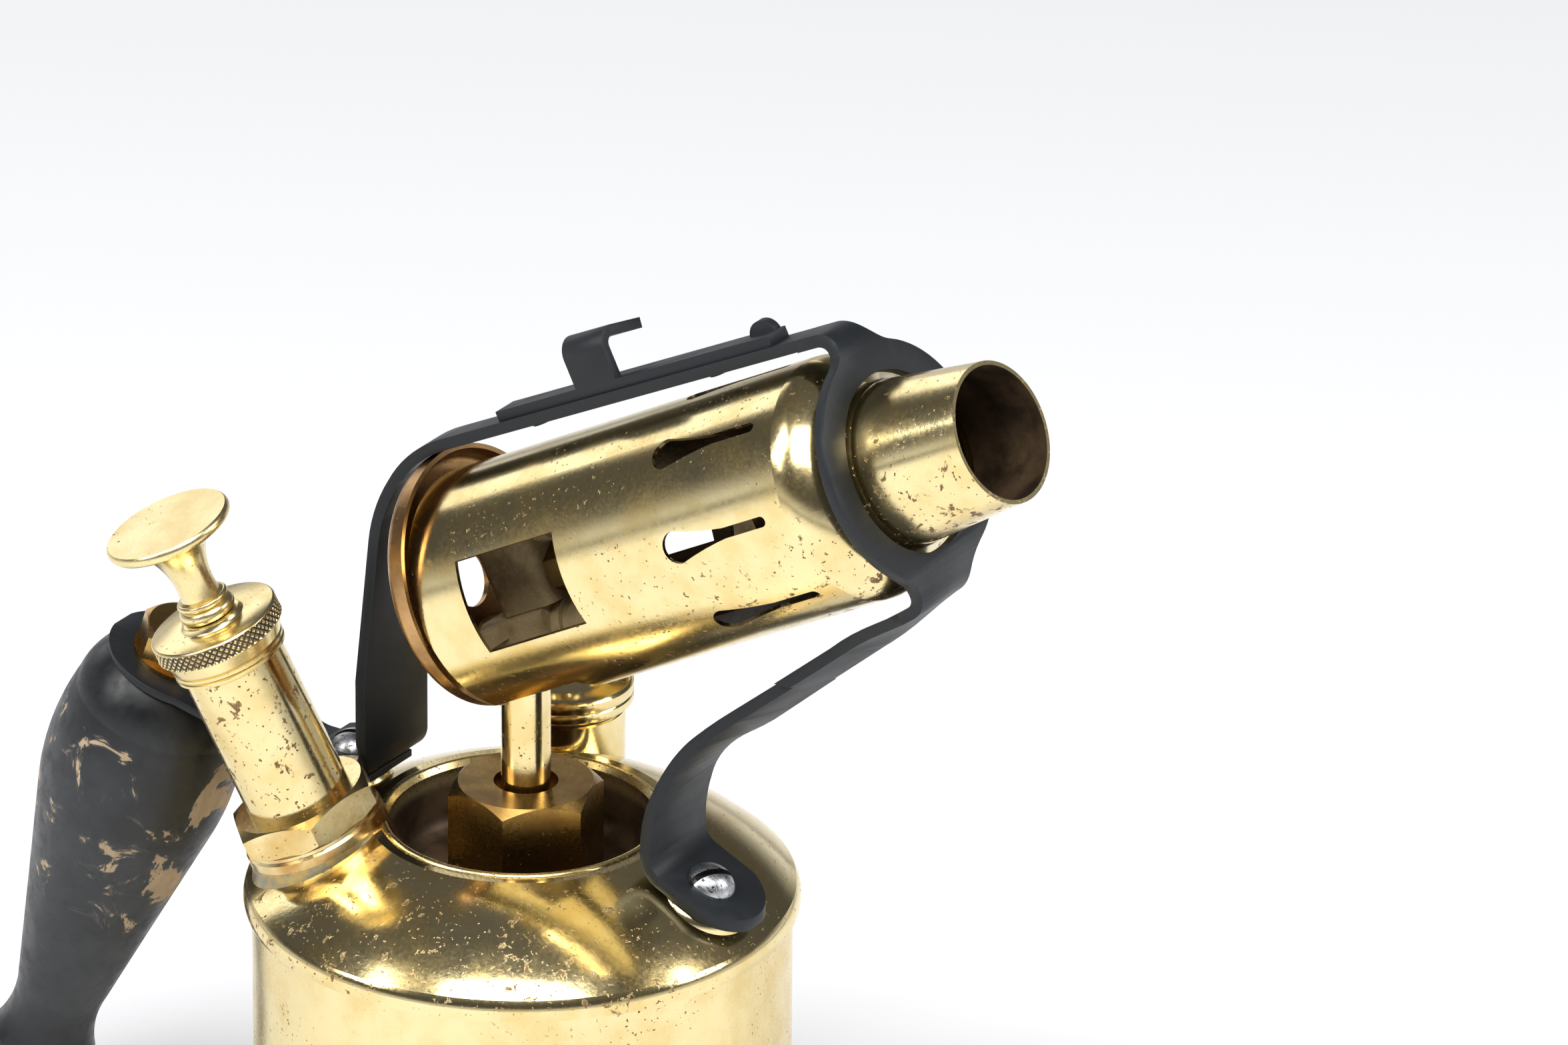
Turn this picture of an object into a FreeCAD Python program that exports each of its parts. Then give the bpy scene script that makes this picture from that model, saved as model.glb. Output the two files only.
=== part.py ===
"""Brass liquid-fuel blowlamp of the one-pint kind, built from its separate pieces.

Millimetres, +Z up. The origin is the centre of the tank's flat bottom, on the surface the
lamp stands on. +X is the way the burner's mouth points, and the handle is at -X.
"""
import FreeCAD, Part
import math
import os

V = FreeCAD.Vector

# Tank
TANK_R = 50.0            # outside radius of the drawn shell
SHEET = 0.9              # brass sheet
SEAM_Z = 80.0            # bottom edge of the shoulder, where it laps the shell
SHOULDER_R = 51.6        # widest radius of the shoulder roll
CROWN_R = 28.6           # radius of the shoulder's crown
CROWN_Z = SEAM_Z + 16.6
CUP_R = 25.4             # outside of the spirit cup's wall
CUP_FLOOR_Z = SEAM_Z + 4.0
BASE_LAP = 8.0           # how far the base cup's skirt climbs the shell

# Riser
RISER_X = 0.8
RISER_R = 4.6
NUT_AF = 25.5            # across flats of the riser nut and of the pump nut
NUT_BOTTOM_Z = SEAM_Z + 6.0
NUT_TOP_Z = SEAM_Z + 24.0

# Burner: local z runs along the burner, local x is its upper side, local y faces -Y
BURNER_TILT = 28.3       # degrees above horizontal
BURNER_Z = SEAM_Z + 65.1 # height where the burner's axis crosses the riser's axis
JACKET_R = 22.8
JACKET_WALL = 0.8
JACKET_REAR = -8.0
JACKET_FRONT = 81.0      # where the front shoulder begins to turn in
NECK_R = 15.3           # nozzle at its root, just behind the ring plate
NECK_S = 91.0
NOZZLE_S = NECK_S + 2.6  # where the nozzle's straight taper starts
FLAME_R = 13.4           # outside of the inner flame tube
MOUTH_R = 13.2
MOUTH_S = 115.9
SLOT_COUNT = 8
SLOT_PHASE = -3.0        # degrees from the top of the jacket
LOOP_R = 5.5             # outside radius of the vaporiser loop's pipe
LOOP_BORE = 3.6
LOOP_ORBIT = 11.5        # how far its two runs lie above and below the burner's axis
LOOP_BEND_S = 46.0       # where the runs end and the bend starts

# Strap over the burner
STRAP_T = 2.2
RING_S = 92.6            # middle of the ring plate's thickness, along the burner
RING_R = 22.6
RING_HOLE_R = 16.9
ARM_HALF = 3.6           # half width of the strap's narrow top arm
NECK_HALF = 7.6          # half width of its neck under the ring plate
LEG_HALF = 10.2          # half width of its wide rear leg
FRONT_HALF = 9.3         # half width of its wide front leg
FRONT_SHIFT = 0.9        # how far the middle of that leg is moved to +Y

# Pump: local z runs up and out along the pump
PUMP_AZ = 214.5
PUMP_TILT = 23.3
PUMP_R = 37.6            # distance from the tank's axis where the pump meets the shoulder
PUMP_Z = SEAM_Z + 12.5
BARREL_R = 9.8
BARREL_WALL = 0.7
BARREL_BOTTOM = -48.0
BARREL_TOP = 44.0
CAP_TOP = 48.5

# Filler
FILLER_AZ = 112.0
FILLER_R = 38.4
FILLER_NECK_R = 11.4
FILLER_TOP_Z = SEAM_Z + 21.8
WING_AZ = 32.8           # direction of the wing on the filler cap

# Handle
HANDLE_X = -78.0         # centre of the grip's top face
HANDLE_Z = SEAM_Z + 27.4
HANDLE_TILT = 20.0       # the grip's top leans this far towards the tank
HANDLE_LENGTH = 102.0
BRACKET_T = 1.5
REAR_SCREW_X = -37.4
REAR_BOSS_Z = SEAM_Z + 17.1

RUN = 0.05               # radial clearance of a sliding or turning fit


# ---------------------------------------------------------------- helpers

def direction(azimuth, tilt):
    """Unit vector leaning away from +Z by tilt, towards azimuth, both in degrees."""
    a = math.radians(azimuth)
    t = math.radians(tilt)
    return V(math.sin(t) * math.cos(a), math.sin(t) * math.sin(a), math.cos(t))


def frame(origin, x_axis, z_axis):
    """Placement whose local x and z point along the given directions."""
    turn = FreeCAD.Rotation(x_axis, V(), z_axis, "ZXY")
    return FreeCAD.Placement(origin, turn)


def put(shape, placement):
    """Copy of a shape moved from its local frame into the object's frame."""
    moved = shape.copy()
    moved.Placement = placement.multiply(shape.Placement)
    return moved


def outline(start, *steps):
    """Closed wire in the XZ plane. A step is an end point, or a pair of mid and end points of an arc."""
    edges = []
    here = V(start[0], 0, start[1])
    for step in list(steps) + [start]:
        if isinstance(step[0], tuple):
            middle = V(step[0][0], 0, step[0][1])
            end = V(step[1][0], 0, step[1][1])
            edges.append(Part.Arc(here, middle, end).toShape())
        else:
            end = V(step[0], 0, step[1])
            edges.append(Part.makeLine(here, end))
        here = end
    return Part.Wire(edges)


def turned(start, *steps):
    """Solid of revolution about the local Z axis, from a closed outline of (radius, z)."""
    return Part.Face(outline(start, *steps)).revolve(V(), V(0, 0, 1), 360)


def disc(radius, low, high, x=0.0, y=0.0):
    return Part.makeCylinder(radius, high - low, V(x, y, low))


def tube(outer, inner, low, high):
    return disc(outer, low, high).cut(disc(inner, low, high))


def hexagon(across_flats, low, high, first=0.0):
    """Hexagonal bar along Z, its first corner at the angle first."""
    corner = across_flats / math.sqrt(3)
    points = []
    for k in range(7):
        a = math.radians(first + 60 * k)
        points.append(V(corner * math.cos(a), corner * math.sin(a), low))
    return Part.Face(Part.makePolygon(points)).extrude(V(0, 0, high - low))


def hex_nut(across_flats, low, high, bore, first=0.0, chamfer=1.2, both=False):
    """Hexagon nut with turned chamfers on its corners and a plain bore."""
    flat = across_flats / 2
    corner = across_flats / math.sqrt(3) + 0.3
    drop = chamfer
    foot = (flat + 0.4, low) if both else (corner, low)
    side = (corner, low + drop) if both else (corner, low + 0.01)
    blank = turned((0, low), foot, side, (corner, high - drop), (flat - 0.2, high), (0, high))
    return hexagon(across_flats, low, high, first).common(blank).cut(disc(bore, low - 1, high + 1))


def path_edges(points, radii, offset):
    """Edges of a bent line in the XZ plane, moved sideways by offset. radii are at the inner points."""
    flat = [V(p[0], 0, p[1]) for p in points]
    ways = [(b - a).normalize() for a, b in zip(flat, flat[1:])]
    sides = [V(-w.z, 0, w.x) for w in ways]
    edges = []
    here = flat[0] + sides[0] * offset
    for k, radius in enumerate(radii):
        before = ways[k]
        after = ways[k + 1]
        corner = flat[k + 1]
        left = before.x * after.z - before.z * after.x > 0
        reach = radius * math.tan(before.getAngle(after) / 2)
        centre = corner - before * reach + sides[k] * (radius if left else -radius)
        start = corner - before * reach + sides[k] * offset
        end = corner + after * reach + sides[k + 1] * offset
        middle = centre + (corner - centre).normalize() * (radius + (-offset if left else offset))
        edges.append(Part.makeLine(here, start))
        edges.append(Part.Arc(start, middle, end).toShape())
        here = end
    edges.append(Part.makeLine(here, flat[-1] + sides[-1] * offset))
    return edges


def band(points, radii, thickness, half_width):
    """Bent flat bar: a path in the XZ plane, given a thickness and a width along Y."""
    left = path_edges(points, radii, thickness / 2)
    right = path_edges(points, radii, -thickness / 2)
    start_cap = Part.makeLine(left[0].Vertexes[0].Point, right[0].Vertexes[0].Point)
    end_cap = Part.makeLine(left[-1].Vertexes[-1].Point, right[-1].Vertexes[-1].Point)
    wire = Part.Wire(Part.__sortEdges__(left + right + [start_cap, end_cap]))
    face = Part.Face(wire)
    face.translate(V(0, -half_width, 0))
    return face.extrude(V(0, 2 * half_width, 0))


def mask_along_x(points, x_low, x_high):
    """Prism along X from a half outline of (half width, z), mirrored across the XZ plane."""
    right = [V(x_low, y, z) for y, z in points]
    left = [V(x_low, -y, z) for y, z in reversed(points)]
    return Part.Face(Part.makePolygon(right + left + [right[0]])).extrude(V(x_high - x_low, 0, 0))


def slotted_screw(head_r, head_h, shank_r, shank_length):
    """Round-headed slotted screw: its head stands on z = 0 and its shank hangs below."""
    dome_top = (0.0, head_h)
    dome_mid = (head_r * 0.74, head_h * 0.70)
    head = turned((0, 0), (head_r, 0), (head_r, 0.5), (dome_mid, dome_top))
    slot = Part.makeBox(2 * head_r + 2, 1.3, head_h, V(-head_r - 1, -0.65, head_h * 0.45))
    return head.cut(slot).fuse(disc(shank_r, -shank_length, 0))


# ---------------------------------------------------------------- frames

AXIS = V(math.cos(math.radians(BURNER_TILT)), 0, math.sin(math.radians(BURNER_TILT)))
UPPER = V(-AXIS.z, 0, AXIS.x)
BURNER = frame(V(RISER_X, 0, BURNER_Z), UPPER, AXIS)

PUMP_DIR = direction(PUMP_AZ, PUMP_TILT)
PUMP_BASE = V(PUMP_R * math.cos(math.radians(PUMP_AZ)), PUMP_R * math.sin(math.radians(PUMP_AZ)), PUMP_Z)
PUMP = frame(PUMP_BASE, V(-math.sin(math.radians(PUMP_AZ)), math.cos(math.radians(PUMP_AZ)), 0), PUMP_DIR)

FILLER_X = FILLER_R * math.cos(math.radians(FILLER_AZ))
FILLER_Y = FILLER_R * math.sin(math.radians(FILLER_AZ))
FILLER = FreeCAD.Placement(V(FILLER_X, FILLER_Y, 0), FreeCAD.Rotation(V(0, 0, 1), WING_AZ))

HANDLE_UP = V(math.sin(math.radians(HANDLE_TILT)), 0, math.cos(math.radians(HANDLE_TILT)))
HANDLE = frame(V(HANDLE_X, 0, HANDLE_Z), V(HANDLE_UP.z, 0, -HANDLE_UP.x), HANDLE_UP)

FOOT_TILT = 25.0         # slope of the strap's front foot
FOOT_X = 41.2            # front screw, on the middle of the foot's thickness
FOOT_Z = SEAM_Z + 12.9
FOOT_UP = V(math.sin(math.radians(FOOT_TILT)), 0, math.cos(math.radians(FOOT_TILT)))
FOOT = frame(V(FOOT_X, 0, FOOT_Z), V(FOOT_UP.z, 0, -FOOT_UP.x), FOOT_UP)


# ---------------------------------------------------------------- tank

def shoulder_solid(inset):
    """Everything under the shoulder's outer surface, drawn in by inset."""
    low = SEAM_Z - 0.4
    return turned(
        (0, low), (TANK_R + 1.4 - inset, low),
        ((SHOULDER_R - inset, SEAM_Z + 1.6), (SHOULDER_R - 0.9 - inset, SEAM_Z + 3.6)),
        ((41.2 - inset * 0.5, SEAM_Z + 10.7 - inset * 0.85), (CROWN_R, CROWN_Z - inset)),
        (0, CROWN_Z - inset))


def tank_base():
    low_groove = 34.0
    r = TANK_R + SHEET
    cup = turned(
        (0, 0), (low_groove, 0), ((low_groove + 1.5, 1.2), (low_groove + 3.0, 0)), (r - 2.5, 0),
        ((r - 0.73, 0.73), (r, 2.5)), (r, BASE_LAP - 0.6), ((r - 0.2, BASE_LAP - 0.15), (r - 0.6, BASE_LAP)),
        (TANK_R, BASE_LAP), (TANK_R, 2.5), ((TANK_R - 0.45, 1.45), (TANK_R - 1.5, SHEET)),
        (low_groove + 3.4, SHEET), ((low_groove + 1.5, SHEET + 1.2), (low_groove - 0.4, SHEET)), (0, SHEET))
    return cup


def tank_shell():
    return tube(TANK_R, TANK_R - SHEET, 2.8, SEAM_Z + 1.2)


def pump_way(low):
    """Hole for the pump's collar, from a height along the pump upwards."""
    return put(disc(COLLAR_R, low, 12), PUMP)


def tank_shoulder():
    shell = shoulder_solid(0.0).cut(shoulder_solid(SHEET))
    lap = turned((TANK_R, SEAM_Z - 0.4), (TANK_R + 1.3, SEAM_Z - 0.4), (TANK_R + 1.3, SEAM_Z + 1.6),
                 (TANK_R, SEAM_Z + 1.6))
    well = disc(CUP_R, SEAM_Z - 2, CROWN_Z + 2)
    shoulder = shell.fuse(lap).cut(well).cut(disc(TANK_R, SEAM_Z - 2, SEAM_Z + 1.6))
    shoulder = shoulder.cut([pump_way(-14.0), put(disc(POST_STEM_R, -12, 0), FRONT_POST),
                             put(disc(POST_STEM_R, -12, 0), REAR_POST)])
    return shoulder.cut(disc(FILLER_NECK_R - 1.4, SEAM_Z, CROWN_Z + 2, FILLER_X, FILLER_Y))


def spirit_cup():
    rim_z = CROWN_Z + 0.5
    wall = 0.7
    cup = turned(
        (6.0, CUP_FLOOR_Z - wall), (CUP_R - 3.5, CUP_FLOOR_Z - wall),
        ((CUP_R - 1.0, CUP_FLOOR_Z + 0.4), (CUP_R, CUP_FLOOR_Z + 3.0)),
        (CUP_R, CROWN_Z), (CUP_R + 1.2, CROWN_Z), ((CUP_R + 0.7, rim_z), (CUP_R - 0.1, rim_z - 0.1)),
        (CUP_R - wall, CROWN_Z - 0.7),
        (CUP_R - wall, CUP_FLOOR_Z + 3.0),
        ((CUP_R - wall - 0.8, CUP_FLOOR_Z + 0.9), (CUP_R - 3.5, CUP_FLOOR_Z)), (6.0, CUP_FLOOR_Z))
    barrel_way = put(disc(BARREL_R, -30.0, 0), PUMP)
    return cup.cut([pump_way(COLLAR_BOTTOM), barrel_way, disc(8.0, CUP_FLOOR_Z - 2, CUP_FLOOR_Z + 1, RISER_X)])


# ---------------------------------------------------------------- riser

def riser_bush():
    """Threaded boss soldered into the cup's floor, with the seat for the riser's cone."""
    low = CUP_FLOOR_Z - 8.0
    body = turned(
        (3.0, low), (8.0, low), (8.0, CUP_FLOOR_Z), (14.0, CUP_FLOOR_Z), (14.0, NUT_BOTTOM_Z - 0.2),
        (9.9, NUT_BOTTOM_Z - 0.2), (9.9, NUT_TOP_Z - 8.0), (7.0, NUT_TOP_Z - 8.0), (3.0, NUT_TOP_Z - 10.5))
    body.translate(V(RISER_X, 0, 0))
    return body


def riser_nut():
    nut = hex_nut(NUT_AF, NUT_BOTTOM_Z, NUT_TOP_Z, 6.0, first=-13.2, chamfer=2.0)
    nut = nut.cut(disc(9.95, NUT_BOTTOM_Z - 1, NUT_TOP_Z - 4.3))
    nut.translate(V(RISER_X, 0, 0))
    return nut


def riser_tube():
    seat = NUT_TOP_Z - 8.0
    top = RISER_TOP_Z
    tube_body = turned(
        (2.6, seat - 2.5), (3.0, seat - 2.5), (6.8, seat), (6.8, seat + 3.7), (RISER_R, seat + 3.7),
        (RISER_R, top), (2.6, top))
    tube_body.translate(V(RISER_X, 0, 0))
    return tube_body


def dip_tube():
    pipe = tube(3.0, 2.2, 7.0, CUP_FLOOR_Z - 5.0)
    mouth = Part.makeBox(8, 8, 5, V(-4, -4, 4.0))
    mouth.rotate(V(0, 0, 8), V(0, 1, 0), 25)
    pipe = pipe.cut(mouth)
    pipe.translate(V(RISER_X, 0, 0))
    return pipe


# ---------------------------------------------------------------- burner

BLOCK_REAR = -9.0        # rear face of the burner's casting, along the burner
BOSS_Z = BURNER_Z - 20.5 # lower end of its boss round the riser
RISER_TOP_Z = BURNER_Z - 13.0

def jacket_skin(inset):
    """Solid under the jacket's outer surface, from its rear edge to the mouth, drawn in by inset."""
    r = JACKET_R - inset
    neck = NECK_R - inset
    return turned(
        (0, JACKET_REAR), (r, JACKET_REAR), (r, JACKET_FRONT),
        ((r - 1.5, JACKET_FRONT + 4.6), (r - 4.6, NECK_S - 2.4 - inset * 0.7)),
        ((neck + 1.2, NECK_S - 0.2 - inset * 0.6), (neck, NOZZLE_S)),
        (MOUTH_R - inset, MOUTH_S), (0, MOUTH_S))


def keyhole_slot():
    """Slot through the upper side: a round bulb at the rear that necks down to a narrow slit."""
    bulb_s = 55.0
    bulb = 3.1
    neck_s = 66.5
    slit = 1.0
    end_s = 75.4
    low = 16.0
    waist = ((bulb_s + neck_s) / 2 + 1.2, (bulb + slit) / 2 - 0.45)
    sides = []
    for way in (1, -1):
        sides.append([V(low, way * bulb, bulb_s), V(low, way * waist[1], waist[0]),
                      V(low, way * slit, neck_s), V(low, way * slit, end_s)])
    edges = [Part.Arc(sides[0][0], V(low, 0, bulb_s - bulb), sides[1][0]).toShape(),
             Part.Arc(sides[0][3], V(low, 0, end_s + slit), sides[1][3]).toShape()]
    for start, middle, end, tip in sides:
        edges.append(Part.Arc(start, middle, end).toShape())
        edges.append(Part.makeLine(end, tip))
    return Part.Face(Part.Wire(Part.__sortEdges__(edges))).extrude(V(12, 0, 0))


def sector(radius, low, high, from_phi, to_phi):
    """Wedge of a cylinder round the burner's axis, between two angles from its top."""
    wedge = Part.makeCylinder(radius, high - low, V(0, 0, low), V(0, 0, 1), to_phi - from_phi)
    wedge.rotate(V(), V(0, 0, 1), from_phi)
    return wedge


def burner_jacket():
    bore = disc(MOUTH_R - JACKET_WALL, MOUTH_S - 4, MOUTH_S + 1)
    jacket = jacket_skin(0.0).cut(jacket_skin(JACKET_WALL)).cut(bore.common(jacket_skin(JACKET_WALL)))
    cuts = []
    for k in range(SLOT_COUNT):
        slot = keyhole_slot()
        slot.rotate(V(), V(0, 0, 1), SLOT_PHASE + 360.0 / SLOT_COUNT * k)
        cuts.append(slot)
    cuts.append(sector(JACKET_R + 2, 3.4, 27.4, 63.3, 109.4))
    cuts.append(sector(JACKET_R + 2, 3.4, 27.4, 250.6, 296.7))
    cuts.append(sector(JACKET_R + 2, JACKET_REAR - 1, 12.0, 146.0, 214.0))
    return put(jacket.cut(cuts), BURNER)


def flame_tube():
    """Inner tube that carries the burning mixture forwards, its flange wedged in the nozzle's taper."""
    taper = (NECK_R - MOUTH_R) / (MOUTH_S - NOZZLE_S)
    bore = NECK_R - JACKET_WALL
    low = NOZZLE_S + 0.6
    high = NOZZLE_S + 3.4
    tube_body = turned(
        (FLAME_R - 1.0, 66.0), (FLAME_R, 66.0), (FLAME_R, low), (bore - taper * (low - NOZZLE_S), low),
        (bore - taper * (high - NOZZLE_S), high), (FLAME_R - 1.0, high))
    return put(tube_body, BURNER)


def loop_solid(radius):
    """Vaporiser loop: a lower run forwards, a half turn round the front and an upper run back."""
    lower = Part.makeCylinder(radius, LOOP_BEND_S - 5.0, V(-LOOP_ORBIT, 0, 5.0))
    upper = Part.makeCylinder(radius, LOOP_BEND_S - 9.0, V(LOOP_ORBIT, 0, 9.0))
    bend = Part.makeTorus(LOOP_ORBIT, radius, V(0, 0, LOOP_BEND_S), V(0, 1, 0))
    ahead = Part.makeBox(60, 60, 30, V(-30, -30, LOOP_BEND_S))
    return lower.fuse([upper, bend.common(ahead)])


def vaporiser_loop():
    return put(loop_solid(LOOP_R).cut(loop_solid(LOOP_BORE)), BURNER)


def burner_block():
    """Casting on top of the riser: its boss, the socket of the loop's lower run and two saddle arms."""
    body = Part.makeBox(11.5, 15.0, 15.0, V(-LOOP_ORBIT - 5.0, -7.5, BLOCK_REAR))
    body = body.makeFillet(2.0, [e for e in body.Edges if abs(e.tangentAt(e.FirstParameter).z) > 0.9])
    collar = Part.makeCylinder(LOOP_R + 1.0, 9.0, V(-LOOP_ORBIT, 0, -1.0))
    inner_r = JACKET_R - JACKET_WALL
    arms = tube(inner_r, inner_r - 2.5, BLOCK_REAR + 2.0, BLOCK_REAR + 6.0)
    arms = arms.common(sector(30, -20, 5, 102, 134).fuse(sector(30, -20, 5, 226, 258)))
    struts = Part.makeBox(3.0, 2 * inner_r, 4.0, V(-8.5, -inner_r, BLOCK_REAR + 2.0))
    struts = struts.common(disc(inner_r - 1.0, -20, 5))
    casting = put(body.fuse([collar, arms, struts]), BURNER)
    lug = put(disc(3.4, 0.5, 6.5, -CAP_SCREW_DROP), rear_cap_frame())
    casting = casting.fuse([Part.makeCylinder(6.5, 10.5, V(RISER_X, 0, BOSS_Z)), lug])
    ways = [Part.makeCylinder(RISER_R, RISER_TOP_Z - BOSS_Z, V(RISER_X, 0, BOSS_Z)),
            Part.makeCylinder(2.6, 4.0, V(RISER_X, 0, RISER_TOP_Z)),
            put(Part.makeCylinder(LOOP_R, 5.0, V(-LOOP_ORBIT, 0, 5.0)), BURNER),
            put(Part.makeCylinder(LOOP_BORE, 12.0, V(-LOOP_ORBIT, 0, -5.0)), BURNER),
            put(disc(CAP_SCREW_R, -3.0, 3.2, -CAP_SCREW_DROP), rear_cap_frame())]
    return casting.cut(ways)


def jet_body():
    """Rear casting that turns the vapour from the upper run down to the jet on the axis."""
    body = Part.makeBox(22.0, 13.0, 13.0, V(-5.0, -6.5, -4.0))
    body = body.makeFillet(2.0, [e for e in body.Edges if abs(e.tangentAt(e.FirstParameter).x) > 0.9])
    neck = Part.makeCylinder(LOOP_R + 0.6, 3.0, V(LOOP_ORBIT, 0, 9.0))
    down = Part.makeCylinder(2.0, LOOP_ORBIT + 2.0, V(0, 0, 1.5), V(1, 0, 0))
    ways = [down, Part.makeCylinder(2.0, 10.0, V(LOOP_ORBIT, 0, 1.5)), disc(3.0, 1.5, 10.0),
            Part.makeCylinder(LOOP_R, 4.0, V(LOOP_ORBIT, 0, 9.0))]
    return put(body.fuse(neck).cut(ways), BURNER)


def jet_nipple():
    nipple = hex_nut(9.0, 9.0, 13.0, 0.4, chamfer=0.6)
    tip = turned((0.4, 13.0), (3.2, 13.0), (1.6, 16.5), (0.4, 16.5))
    stem = tube(3.0, 0.4, 3.5, 9.0)
    return put(nipple.fuse([tip, stem]), BURNER)


CAP_TILT = 23.0          # the rear cap leans back less than the burner
CAP_S = -12.9
CAP_LIFT = 3.2
CAP_R = 24.1
CAP_HOLE_R = 5.5
CAP_SCREW_DROP = 11.5    # distance of its screw below its centre
CAP_SCREW_R = 1.5


def rear_cap_frame():
    a = math.radians(CAP_TILT)
    centre = BURNER.multVec(V(CAP_LIFT, 0, CAP_S))
    return frame(centre, V(-math.sin(a), 0, math.cos(a)), V(math.cos(a), 0, math.sin(a)))


def rear_cap():
    """Shallow dish that shields the rear end of the burner."""
    dish = turned(
        (0, -0.6), (16.0, -0.6), (CAP_R - 2.6, 0), ((CAP_R - 0.75, 0.75), (CAP_R, 2.6)), (CAP_R + 0.2, 4.8),
        (CAP_R - 0.7, 4.8), (CAP_R - 0.9, 2.6), ((CAP_R - 1.5, 1.45), (CAP_R - 2.8, 0.9)),
        (16.0, 0.5), (0, 0.5))
    notch = Part.makeCylinder(6.6, 40.0, V(RISER_X, 0, BOSS_Z - 20.0))
    dish = dish.cut([disc(CAP_HOLE_R, -2, 2), disc(CAP_SCREW_R + 0.1, -2, 2, -CAP_SCREW_DROP)])
    return put(dish, rear_cap_frame()).cut(notch)


def cap_screw():
    """Slotted screw that holds the rear cap on the casting's lug."""
    screw = slotted_screw(2.7, 1.8, CAP_SCREW_R, 3.6)
    screw.rotate(V(), V(0, 1, 0), 180)
    screw.translate(V(-CAP_SCREW_DROP, 0, -0.6))
    return put(screw, rear_cap_frame())


# ---------------------------------------------------------------- strap and iron rest

def plate_point(r, s=RING_S):
    """XZ point of the ring plate's middle, at distance r above the burner's axis."""
    p = V(RISER_X, 0, BURNER_Z) + AXIS * s + UPPER * r
    return (p.x, p.z)


ARM_SLOPE = 26.8
TOP_CORNER = plate_point(26.2)
REAR_X = -29.1
REAR_TOP_Z = TOP_CORNER[1] - (TOP_CORNER[0] - REAR_X) * math.tan(math.radians(ARM_SLOPE))
REAR_FOOT_Z = REAR_BOSS_Z + BRACKET_T + STRAP_T / 2
FOOT_DROP = math.tan(math.radians(FOOT_TILT))


def support_strap():
    front_corner_x = 32.6
    foot_end_x = 51.2
    path = [
        (foot_end_x, FOOT_Z - (foot_end_x - FOOT_X) * FOOT_DROP),
        (front_corner_x, FOOT_Z + (FOOT_X - front_corner_x) * FOOT_DROP),
        (front_corner_x, SEAM_Z + 35.2),
        plate_point(-25.0, RING_S - 4.0),
        plate_point(-17.5),
        TOP_CORNER,
        (REAR_X, REAR_TOP_Z),
        (REAR_X, REAR_FOOT_Z),
        (REAR_SCREW_X - 6.4, REAR_FOOT_Z),
    ]
    bar = band(path, [5.0, 30.0, 4.5, 9.0, 4.5, 25.0, 3.6], STRAP_T, 26.0)
    slice_s = RING_S - 9.0
    ahead = put(Part.makeBox(120, 80, 40, V(-60, -40, slice_s)), BURNER)
    ring = put(ring_outline(slice_s), BURNER)
    above = put(Part.makeBox(80, 80, 160, V(0, -40, -70)), BURNER)
    low_half = Part.makeBox(90, 60, 200, V(18, -30, 0)).cut([ahead, above])
    leg_mask = mask_along_x(
        [(FRONT_HALF, 0), (FRONT_HALF, SEAM_Z + 30), (6.2, SEAM_Z + 50), (5.6, SEAM_Z + 70),
         (NECK_HALF, SEAM_Z + 83), (NECK_HALF, SEAM_Z + 96)], 0, 120)
    leg_mask = leg_mask.cut(Part.makeBox(120, 80, SEAM_Z + 60, V(0, -40, 0)))
    foot_mask = mask_along_x(
        [(FRONT_HALF, 0), (FRONT_HALF, SEAM_Z + 30), (6.4, SEAM_Z + 50), (5.6, SEAM_Z + 60)], 0, 120)
    foot_mask.translate(V(0, FRONT_SHIFT, 0))
    low_half = low_half.common(leg_mask.fuse(foot_mask))
    top_mask = mask_along_x(
        [(LEG_HALF, 0), (LEG_HALF, SEAM_Z + 40), (ARM_HALF, SEAM_Z + 79), (ARM_HALF, SEAM_Z + 160)], -80, 100)
    behind = Part.makeBox(90, 80, 200, V(-80, -40, 0))
    rear_half = above.fuse(behind).cut(ahead).common(top_mask)
    strap = bar.common(ring.fuse([low_half, rear_half]))
    strap = strap.cut(put(disc(SCREW_R + 0.2, -5, 5), FOOT))
    strap = strap.cut(disc(SCREW_R + 0.2, REAR_FOOT_Z - 5, REAR_FOOT_Z + 5, REAR_SCREW_X))
    holes = [put(disc(RIVET_R, -8, 2, x), rest_frame(REST_START_X)) for x in RIVET_AT]
    return strap.common(foot_plan()).cut(holes + [pump_relief()])


def pump_relief():
    """Room for the pump's nut in the pieces that pass close behind it."""
    return put(disc(15.0, COLLAR_TOP - 4.0, COLLAR_TOP + 8.0), PUMP)


def ring_outline(slice_s):
    """Ring plate with its two necks, as a prism along the burner, bored for the nozzle."""
    depth = 16.0
    ring = disc(RING_R, slice_s, slice_s + depth)
    for sign, half in ((1, ARM_HALF), (-1, NECK_HALF)):
        ring = ring.fuse(neck_fillet(sign, half, slice_s, depth))
    return ring.cut(disc(RING_HOLE_R, slice_s, slice_s + depth))


def neck_fillet(sign, half, low, depth):
    """Neck from the ring plate to an arm, with concave sides of radius FLARE."""
    flare = 9.0
    side = half + flare
    centre_x = math.sqrt((RING_R + flare) ** 2 - side ** 2)
    reach = centre_x + 10.0
    touch = RING_R / (RING_R + flare)
    block = Part.makeBox(reach - 10, 2 * side * touch, depth, V(centre_x * touch, -side * touch, low))
    for way in (1, -1):
        block = block.cut(disc(flare, low - 1, low + depth + 1, centre_x, way * side))
    limit = Part.makeBox(reach, 2 * half, depth, V(centre_x, -half, low))
    keep = Part.makeBox(centre_x * (1 - touch), 60, depth, V(centre_x * touch, -30, low))
    neck = block.common(keep).fuse(limit)
    if sign < 0:
        neck.rotate(V(), V(0, 0, 1), 180)
    return neck


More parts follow.
